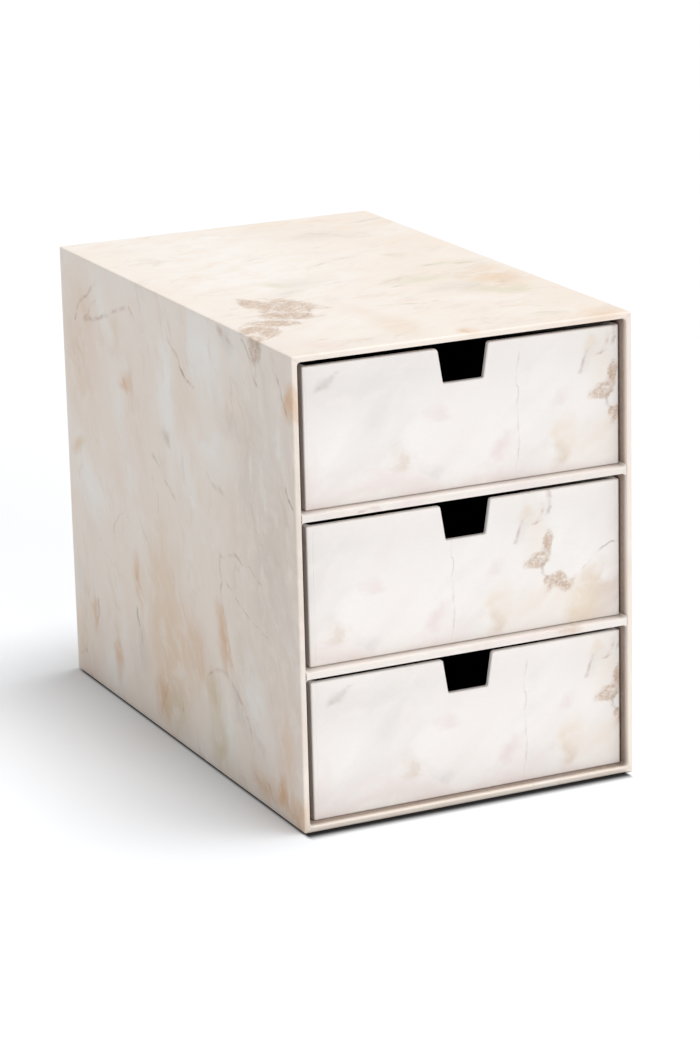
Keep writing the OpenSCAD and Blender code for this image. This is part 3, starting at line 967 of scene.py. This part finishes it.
ART_BASE = "#f4efeb"
ART_WARM = "#ecdfd0"
ART_ROSE = "#ecdedb"
ART_GREY = "#e4e0de"
ART_BROWN = "#dccbbb"
ART_OCHRE = "#e5d2b8"
ART_GREEN = "#ecebe0"
ART_CLOUDS = (
    (COOL, (60, 40), 35, 31.4, 0.46, 0.68, 0.50),
    (ART_ROSE, (55, 24), 40, 36.1, 0.52, 0.76, 0.45),
    (ART_GREY, (60, 26), 42, 39.7, 0.52, 0.74, 0.40),
    (ART_GREEN, (34, 18), 36, 43.5, 0.54, 0.76, 0.40),
)
ART_STAINS = (
    (ART_GREY, (-45, 48), (34, 14), 20, 0.40),
    (ART_GREY, (-40, 34), (5, 12), -20, 0.45),
    (ART_ROSE, (-40, 9), (26, 10), 0, 0.60),
    (ART_GREY, (-61, 52), (3, 7), -40, 0.85),
    (ART_BROWN, (-29, 13), (6, 5), 20, 0.85),
    (ART_GREY, (-17, 9), (4, 3), 0, 0.80),
    (ART_ROSE, (-12, 33), (5, 3), 20, 0.90),
    (ART_ROSE, (14, 13), (14, 4), 40, 1.00),
    (ART_ROSE, (44, 31), (4, 3), 40, 0.95),
    (ART_WARM, (47, 16), (5, 9), 0, 1.00),
    (ART_BROWN, (46, 10), (4, 6), 0, 0.70),
    (ART_GREY, (40, 15), (3, 2), 0, 0.85),
    (ART_WARM, (56, 53), (4, 8), 0, 0.85),
    (ART_GREY, (55, 45), (3, 7), -20, 0.70),
    (ART_WARM, (66, 14), (26, 7), 0, 0.55),
    (ART_WARM, (63, 44), (8, 14), 0, 0.50),
    (ART_OCHRE, (87, 9), (9, 11), 0, 0.90),
    (ART_OCHRE, (92, 20), (6, 8), 0, 0.60),
    (ART_BROWN, (97, 14), (9, 12), 0, 0.80),
    (ART_ROSE, (0, 2), (90, 4), 0, 0.55),
    (ART_ROSE, (-70, 8), (5, 16), 0, 0.55),
    (COOL, (78, 42), (14, 16), 0, 0.80),
    (COOL, (34, 44), (10, 18), 0, 0.55),
)
ART_DARK_VEINS = (
    (1.6, ((69, 63), (70, 57), (69, 52), (65, 49), (61, 47))),
    (1.3, ((70, 24), (74, 21), (78, 20), (81, 22), (84, 25))),
    (0.9, ((84, 25), (90, 30), (96, 34), (102, 35))),
    (1.4, ((67, 33), (67, 29), (70, 24))),
)
ART_VEINS = (
    (2.2, ((67, 45), (70, 42), (68, 38), (67, 34))),
    (1.8, ((67, 58), (66, 53), (62, 47))),
    (1.5, ((57, 51), (56, 47), (54, 41))),
)
ART_PALE_VEINS = (
    (3.4, ((-65, 47), (-61, 52), (-56, 57))),
    (0.6, ((25, 57), (25, 40), (25, 21), (25, 1))),
)
ART_CRACKLES = (
    ((63, 31), (6, 4.5), 0),
    ((75, 18), (9, 5), 0),
    ((67, 19), (2.6, 2.6), 0),
    ((68, 38), (3, 7), 0),
)

# Both shelves' strips are cut from this print, a strip's length apart
STRIP_BASE = "#ebe2db"
STRIP_STAINS = (
    (ART_BROWN, (-44, 2), (8, 3), 0, 0.90),
    (ART_ROSE, (-30, 1), (12, 4), 0, 0.90),
    (ART_BROWN, (245, 2), (8, 3), 0, 0.90),
    (ART_ROSE, (232, 1), (14, 4), 0, 0.70),
)
STRIP_VEINS = (
    (0.9, ((-50, 3), (-45, 1), (-38, 2))),
    (0.9, ((240, 3), (246, 1), (252, 2))),
)


def marble(tree, place, base, clouds, stains, pale_veins=(), veins=(), dark_veins=(), crackles=(),
           wisps=0.0):
    """Colour of the marble print at a place, in millimetres, on its sheet. Wisps is their strength."""
    bent = wavering(tree, place, *BENT)
    torn = wavering(tree, bent, *TORN)
    shaken = wavering(tree, place, *SHAKEN)
    colour = linear(base)
    for tint, size, turn, seed, start, full, strength in clouds:
        kind = (math.radians(turn), CLOUD_DETAIL, CLOUD_ROUGHNESS, (start, full))
        cloud = swirl(tree, bent, size, seed, *kind)
        colour = tinted(tree, colour, tint, cloud, strength)
    mottle = swirl(tree, torn, *STAIN_MOTTLE)
    turns = [stain[3] for stain in stains] + [crackle[2] for crackle in crackles]
    places = turned_places(tree, torn, turns)
    for tint, middle, size, turn, strength in stains:
        reach = (STAIN_REACH * size[0], STAIN_REACH * size[1])
        stain = patch(tree, places, middle, reach, turn, 1.0)
        colour = tinted(tree, colour, tint, stain, mottle, strength)
    if wisps:
        colour = with_wisps(tree, bent, colour, wisps)
    if crackles:
        colour = with_crackle(tree, places, shaken, colour, crackles)
    spot = add(tree, "SeparateXYZ", {"Vector": shaken})
    broken = swirl(tree, place, *VEIN_BREAKS)
    for tint, group in ((GREY_VEIN, pale_veins), (VEIN_BROWN, veins), (VEIN_DARK, dark_veins)):
        if group:
            drawn = largest(tree, (vein(tree, spot, points, width) for width, points in group))
            colour = tinted(tree, colour, tint, drawn, broken, VEIN_STRENGTH[tint])
    return colour


def with_wisps(tree, place, colour, strength):
    """Adds the print's many fine veins, which are faint and come and go."""
    for tint, size, turn, seed, width in WISPS:
        wander = swirl(tree, place, size, seed, math.radians(turn), WISP_DETAIL)
        line = close_to(tree, wander, NOISE_MEAN, width)
        swell_seed = seed + WISP_SWELL_SEED
        where = swirl(tree, place, WISP_SWELL, swell_seed, detail=WISP_SWELL_DETAIL, fade=WISP_FADE)
        colour = tinted(tree, colour, tint, line, where, strength)
    return colour


def with_crackle(tree, places, shaken, colour, crackles):
    """Adds brown patches that are crossed by a net of fine cracks."""
    ovals = (patch(tree, places, middle, size, turn, CRACKLE_SOFTNESS) for middle, size, turn in crackles)
    area = largest(tree, ovals)
    fill = swirl(tree, shaken, *CRACKLE_MOTTLE)
    colour = tinted(tree, colour, CRACKLE_BROWN, area, fill, CRACKLE_STRENGTH)
    lines = []
    for net, width in CRACK_NETS:
        lines.append(close_to(tree, swirl(tree, shaken, *net), NOISE_MEAN, width))
    return tinted(tree, colour, CRACK, largest(tree, lines), area, CRACK_STRENGTH)


def on_the_print(tree):
    """Place on the printed sheet, in millimetres, from where the piece was cut."""
    spot = add(tree, "UVMap", uv_map="print")
    return add(tree, "VectorMath", {0: spot, "Scale": 1 / MM}, operation="SCALE")


def on_the_solid(tree):
    """Place in a piece that stands where the frame says, in millimetres."""
    spot = add(tree, "TexCoord")
    return add(tree, "VectorMath", {0: spot.outputs["Object"], "Scale": 1 / MM}, operation="SCALE")


def on_flat_sheet(tree, upright, cut):
    """Place on a flat sheet, in millimetres from where it is cut on its print: its width first."""
    apart = add(tree, "SeparateXYZ", {"Vector": on_the_solid(tree)})
    flat = add(tree, "CombineXYZ", {"X": apart.outputs[0], "Y": apart.outputs[2 if upright else 1]})
    return add(tree, "VectorMath", {0: flat, 1: (cut[0], cut[1], 0.0)}, operation="ADD")


# ------------------------------------------------------------- materials

# Coated art paper is smooth, but its fibres still show as a fine tooth. The real tooth is about 0.1 mm,
# which no pixel can show, so it is drawn five times as coarse.
PAPER_TOOTH = ((0.5, 0.5), 81.0, 0.0, 3.0, 0.6)
PAPER_TOOTH_DEPTH = 0.006 * MM
# Satin: rougher where the ink lies thick, in blots a few millimetres wide
INK_BLOTS = ((2.4, 1.6), 84.0, 0.3, 4.0, 0.65, (0.35, 0.75))
INK_WARM = "#efe4d8"
INK_STRENGTH = 0.14
ART_PAPER_ROUGHNESS = (0.57, 0.65)
ART_PAPER_IOR = 1.48

# Painted shade: paper that lies deep in a corner is given a brown that stands in for the shade there. The
# sleeve is shaded past the mouth's edge and a strip over its shelf: from and to, in millimetres along the
# paper, where out of the bay is positive.
PAINTED_SHADE_BROWN = "#6f5240"
SLEEVE_PAINTED_SHADE = (-1.6, -5.0)
SLEEVE_PAINTED_SHADE_STRENGTH = 0.80
STRIP_PAINTED_SHADE = (-0.6, -6.2)
STRIP_PAINTED_SHADE_STRENGTH = 0.50
# Painted shade along a drawer's left and lower edge: shares of its width and height over which it darkens
LEFT_PAINTED_SHADE = 0.006
LOWER_PAINTED_SHADE = 0.014
DRAWER_PAINTED_SHADE_STRENGTH = 0.22


def art_paper(tree, place, colour):
    """Coated paper under a print: satin, with its tooth and slightly uneven ink."""
    tooth = swirl(tree, place, *PAPER_TOOTH)
    ink = swirl(tree, place, *INK_BLOTS)
    low, high = ART_PAPER_ROUGHNESS
    uneven = add(tree, "MapRange", {"Value": ink, "To Min": low, "To Max": high})
    inked = tinted(tree, colour, INK_WARM, ink, INK_STRENGTH)
    surface(tree, inked, uneven, tooth, PAPER_TOOTH_DEPTH, ART_PAPER_IOR)


def painted_shade_in_bay(tree, place, shade_span):
    """Mask of the painted shade on the paper that has turned into a bay, full further in."""
    travel = add(tree, "SeparateXYZ", {"Vector": place})
    ranges = {"Value": travel.outputs[1], "From Min": shade_span[0], "From Max": shade_span[1]}
    return add(tree, "MapRange", ranges, interpolation_type="SMOOTHSTEP")


def sleeve_paper():
    """Marble-printed art paper round the case: the eye gets warm clouds and torn reddish veins. Past the
    mouth's edge it has painted shade.
    """
    material, tree = new_material("marble_printed_art_paper_sleeve")
    place = on_the_print(tree)
    colour = marble(tree, place, SLEEVE_BASE, SLEEVE_CLOUDS, SLEEVE_STAINS, SLEEVE_PALE_VEINS, SLEEVE_VEINS,
                    SLEEVE_DARK_VEINS, SLEEVE_CRACKLES, SLEEVE_WISPS)
    # Painted shade on the paper that turns into the bays, in place of the shade there
    inside = painted_shade_in_bay(tree, place, SLEEVE_PAINTED_SHADE)
    art_paper(tree, place, tinted(tree, colour, PAINTED_SHADE_BROWN, inside, SLEEVE_PAINTED_SHADE_STRENGTH))
    return material


def drawer_paper():
    """Marble-printed art paper of the drawers: whiter and cooler, with a crackled arc at the right, and
    painted shade along its left and lower edges.
    """
    material, tree = new_material("marble_printed_art_paper_drawers")
    place = on_the_print(tree)
    colour = marble(tree, place, ART_BASE, ART_CLOUDS, ART_STAINS, ART_PALE_VEINS, ART_VEINS,
                    ART_DARK_VEINS, ART_CRACKLES)
    spot = add(tree, "TexCoord")
    share = add(tree, "SeparateXYZ", {"Vector": spot.outputs["Generated"]})
    # Painted shade along the left and lower edges, where the gap beside the drawer and the shelf under it
    # are in shade
    edges = []
    for axis, shade_span in ((0, LEFT_PAINTED_SHADE), (2, LOWER_PAINTED_SHADE)):
        ranges = {"Value": share.outputs[axis], "From Min": shade_span, "From Max": 0.0}
        edges.append(add(tree, "MapRange", ranges, interpolation_type="SMOOTHSTEP"))
    brown = tinted(tree, colour, PAINTED_SHADE_BROWN, largest(tree, edges), DRAWER_PAINTED_SHADE_STRENGTH)
    art_paper(tree, place, brown)
    return material


def strip_paper():
    """Marble-printed art paper of the shelves' strips: the eye gets a near white with brown blotches. Over
    the shelf's top, further into the bay, it has painted shade.
    """
    material, tree = new_material("marble_printed_art_paper_shelves")
    place = on_the_print(tree)
    colour = marble(tree, place, STRIP_BASE, ART_CLOUDS, STRIP_STAINS, veins=STRIP_VEINS)
    # Painted shade on the shelf's top, darker further into the bay
    inside = painted_shade_in_bay(tree, place, STRIP_PAINTED_SHADE)
    art_paper(tree, place, tinted(tree, colour, PAINTED_SHADE_BROWN, inside, STRIP_PAINTED_SHADE_STRENGTH))
    return material


def flat_sheet_paper(name, upright, cut):
    """Marble-printed art paper that closes the back or the underside: the sleeve's print with few marks."""
    material, tree = new_material(f"marble_printed_art_paper_{name}")
    place = on_flat_sheet(tree, upright, cut)
    colour = marble(tree, place, SLEEVE_BASE, SLEEVE_CLOUDS, SHEET_STAINS, SHEET_PALE_VEINS, SHEET_VEINS)
    art_paper(tree, place, colour)
    return material


LINING_BLACK = "#121113"
LINING_WORN = "#1b1a1c"
LINING_FIBRE = "#3a393b"
LINING_ROUGHNESS = 0.88
# Stray fibres are 3 mm long. The felt-like tooth is about 0.2 mm, and is drawn three times as coarse.
LINING_MOTTLE = ((9, 6), 91.0, 0.0, 4.0, 0.6, (0.3, 0.7))
LINING_FIBRES = ((3.0, 0.9), 94.0, 0.7, 2.0)
LINING_FIBRE_WIDTH = 0.012
LINING_FIBRE_STRENGTH = 0.35
LINING_TOOTH = ((0.6, 0.6), 97.0, 0.0, 4.0, 0.7)
LINING_TOOTH_DEPTH = 0.03 * MM


def lining_paper():
    """Uncoated black paper, dyed through: matt, with pale stray fibres and a felt-like tooth."""
    material, tree = new_material("black_dyed_lining_paper")
    place = on_the_solid(tree)
    mottle = swirl(tree, place, *LINING_MOTTLE)
    fibres = close_to(tree, swirl(tree, place, *LINING_FIBRES), NOISE_MEAN, LINING_FIBRE_WIDTH)
    colour = tinted(tree, linear(LINING_BLACK), LINING_WORN, mottle)
    colour = tinted(tree, colour, LINING_FIBRE, fibres, LINING_FIBRE_STRENGTH)
    surface(tree, colour, LINING_ROUGHNESS, swirl(tree, place, *LINING_TOOTH), LINING_TOOTH_DEPTH)
    return material


BOARD_DARK = "#a39a8c"
BOARD_PALE = "#b4ab9c"
BOARD_SPECK = "#6e675d"
BOARD_FIBRE = "#cfc8bb"
BOARD_ROUGHNESS = 0.9
# Specks of old print lie about 1 mm apart and are up to 0.4 mm wide, and fibres are 4 mm long. The tooth is
# about 0.3 mm, and is drawn twice as coarse.
BOARD_CLOUDS = ((8, 6), 101.0, 0.0, 5.0, 0.6, (0.35, 0.65))
BOARD_FIBRES = ((4.0, 0.8), 104.0, 0.9, 2.0)
BOARD_FIBRE_WIDTH = 0.015
BOARD_FIBRE_STRENGTH = 0.5
BOARD_TOOTH = ((0.7, 0.5), 107.0, 0.0, 4.0, 0.7)
BOARD_TOOTH_DEPTH = 0.05 * MM
SPECKS_PER_MM = 0.9
SPECK_FADE = (0.20, 0.08)
SPECK_STRENGTH = 0.6


def greyboard():
    """Greyboard, pressed from waste paper: grey-brown and matt, with dark specks and pale fibres."""
    material, tree = new_material("pressed_greyboard")
    place = on_the_solid(tree)
    clouds = swirl(tree, place, *BOARD_CLOUDS)
    cells = add(tree, "TexVoronoi", {"Vector": place, "Scale": SPECKS_PER_MM}, feature="F1")
    ranges = {"Value": cells.outputs["Distance"], "From Min": SPECK_FADE[0], "From Max": SPECK_FADE[1]}
    specks = add(tree, "MapRange", ranges, interpolation_type="SMOOTHSTEP")
    fibres = close_to(tree, swirl(tree, place, *BOARD_FIBRES), NOISE_MEAN, BOARD_FIBRE_WIDTH)
    colour = tinted(tree, linear(BOARD_DARK), BOARD_PALE, clouds)
    colour = tinted(tree, colour, BOARD_SPECK, specks, SPECK_STRENGTH)
    colour = tinted(tree, colour, BOARD_FIBRE, fibres, BOARD_FIBRE_STRENGTH)
    surface(tree, colour, BOARD_ROUGHNESS, swirl(tree, place, *BOARD_TOOTH), BOARD_TOOTH_DEPTH)
    return material


BACKGROUND_WHITE = "#f8fafd"
BACKGROUND_GRAIN = "#f7f9fc"
# Grain of background paper is about 0.3 mm, and is drawn four times as coarse
BACKGROUND_TOOTH = ((1.2, 1.2), 111.0, 0.0, 3.0)
BACKGROUND_TOOTH_DEPTH = 0.01 * MM
BACKGROUND_ROUGHNESS = 0.95

# Painted shadow on the floor: the case keeps the light off the floor close around it, and a dark patch is
# painted there. The dark patch is the case's footprint in millimetres, moved forward, where it shows as a
# line under the front.
PAINTED_CONTACT_SHADOW = "#080808"
CONTACT_FRONT = 8.5
CONTACT_LEFT = 1.6
CONTACT_RIGHT = -2.0
CONTACT_FADE = 7.0
# It fades this many times faster at the sides
CONTACT_SIDE = 3.0


def background_paper():
    """Seamless white background paper: pure white, with a painted shadow, nearly black, where the case all
    but touches it.
    """
    material, tree = new_material("white_seamless_background_paper")
    place = on_the_solid(tree)
    left = CASE_LOW.x / MM - CONTACT_LEFT
    right = CASE_HIGH.x / MM + CONTACT_RIGHT
    front = CASE_LOW.y / MM - CONTACT_FRONT
    back = CASE_HIGH.y / MM
    middle = ((left + right) / 2, (front + back) / 2, 0.0)
    half = ((right - left) / 2 - CONTACT_FADE / CONTACT_SIDE, (back - front) / 2 - CONTACT_FADE, 1.0)
    off = add(tree, "VectorMath", {0: place, 1: middle}, operation="SUBTRACT")
    aside = add(tree, "VectorMath", {0: off}, operation="ABSOLUTE")
    past = add(tree, "VectorMath", {0: aside, 1: half}, operation="SUBTRACT")
    steep = add(tree, "VectorMath", {0: past, 1: (CONTACT_SIDE, 1.0, 1.0)}, operation="MULTIPLY")
    outside = add(tree, "VectorMath", {0: steep, 1: (0.0, 0.0, 0.0)}, operation="MAXIMUM")
    away = add(tree, "VectorMath", {0: outside}, operation="LENGTH")
    ranges = {"Value": away.outputs["Value"], "From Min": CONTACT_FADE, "From Max": 0.0}
    painted_contact_shadow = add(tree, "MapRange", ranges, interpolation_type="SMOOTHSTEP")
    grain = swirl(tree, place, *BACKGROUND_TOOTH)
    white = tinted(tree, linear(BACKGROUND_WHITE), BACKGROUND_GRAIN, grain)
    # Painted shadow, nearly black, close round the case's footprint
    colour = tinted(tree, white, PAINTED_CONTACT_SHADOW, painted_contact_shadow)
    surface(tree, colour, BACKGROUND_ROUGHNESS, grain, BACKGROUND_TOOTH_DEPTH)
    return material


# ------------------------------------------------------------- stage, light and camera

# The camera is solved on the case's edges in the photograph: its place, the way it looks and its turn
CAMERA_AT = Vector((-0.66918, -1.43048, 0.54366))
CAMERA_WAY = Vector((0.41005, 0.869069, -0.276729))
CAMERA_ROLL = math.radians(-1.432)
CAMERA_LENS = 128.3
CAMERA_SENSOR = 36.0
CAMERA_REACH = (0.05, 60.0)

# Two wide soft lights, one nearly overhead and a little to the right, and one low before the mouth, and
# white all round. A light comes from its way, and a way of length 1 would show white paper that faces the
# light as full white.
KEY_FROM = Vector((0.158, -0.06, 0.652))
KEY_SPREAD = math.radians(32)
FILL_FROM = Vector((0.02, -0.245, 0.073))
FILL_SPREAD = math.radians(32)
SKY_STRENGTH = 0.385

FLOOR_R = 14.0
FLOOR_SIDES = 96
# The floor lies this far under the base sheet, so that they don't share a plane
FLOOR_GAP = 0.2 * MM


def add_camera():
    """The camera of the photograph."""
    data = bpy.data.cameras.new("camera")
    data.lens = CAMERA_LENS
    data.sensor_width = CAMERA_SENSOR
    data.clip_start, data.clip_end = CAMERA_REACH
    camera = bpy.data.objects.new("camera", data)
    bpy.context.scene.collection.objects.link(camera)
    turn = CAMERA_WAY.to_track_quat("-Z", "Y").to_matrix().to_4x4()
    camera.matrix_world = Matrix.Translation(CAMERA_AT) @ turn @ Matrix.Rotation(CAMERA_ROLL, 4, "Z")
    bpy.context.scene.camera = camera


def add_sun(name, way, spread):
    """A wide soft light that comes from its way and is as strong as the way is long."""
    data = bpy.data.lights.new(name, "SUN")
    data.energy = way.length * math.pi
    data.angle = spread
    light = bpy.data.objects.new(name, data)
    bpy.context.scene.collection.objects.link(light)
    light.rotation_euler = (-way).to_track_quat("-Z", "Y").to_euler()


def add_floor():
    """The background paper that the case stands on."""
    shape = bmesh.new()
    bmesh.ops.create_circle(shape, cap_ends=True, segments=FLOOR_SIDES, radius=FLOOR_R)
    mesh = bpy.data.meshes.new("floor")
    shape.to_mesh(mesh)
    shape.free()
    floor = bpy.data.objects.new("floor", mesh)
    bpy.context.scene.collection.objects.link(floor)
    floor.location.z = -FLOOR_GAP
    mesh.materials.append(background_paper())


def add_world():
    """Even white light from all round."""
    world = bpy.data.worlds.new("studio")
    world.use_nodes = True
    background = world.node_tree.nodes["Background"]
    background.inputs["Color"].default_value = (1, 1, 1, 1)
    background.inputs["Strength"].default_value = SKY_STRENGTH
    bpy.context.scene.world = world


def dress_cad_nodes():
    """Gives a material to every piece of the frame that keeps its own shape."""
    board = greyboard()
    lining = lining_paper()
    for name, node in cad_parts.items():
        node.data.materials.clear()
        node.data.materials.append(lining if name.endswith("liner") else board)
    for name, (upright, cut) in SHEET_CUTS.items():
        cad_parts[name].data.materials[0] = flat_sheet_paper(name, upright, cut)


def main():
    """Dresses the frame and sets it up for its picture."""
    scene = bpy.context.scene
    scene.view_settings.view_transform = "Standard"
    add_camera()
    add_floor()
    add_world()
    add_sun("key", KEY_FROM, KEY_SPREAD)
    add_sun("fill", FILL_FROM, FILL_SPREAD)
    dress_cad_nodes()
    case_sleeve(sleeve_paper())
    strips = strip_paper()
    for name in SHELVES:
        shelf_strip(name, strips)
    covers = drawer_paper()
    for level in LEVELS:
        drawer_cover(level, covers)


main()
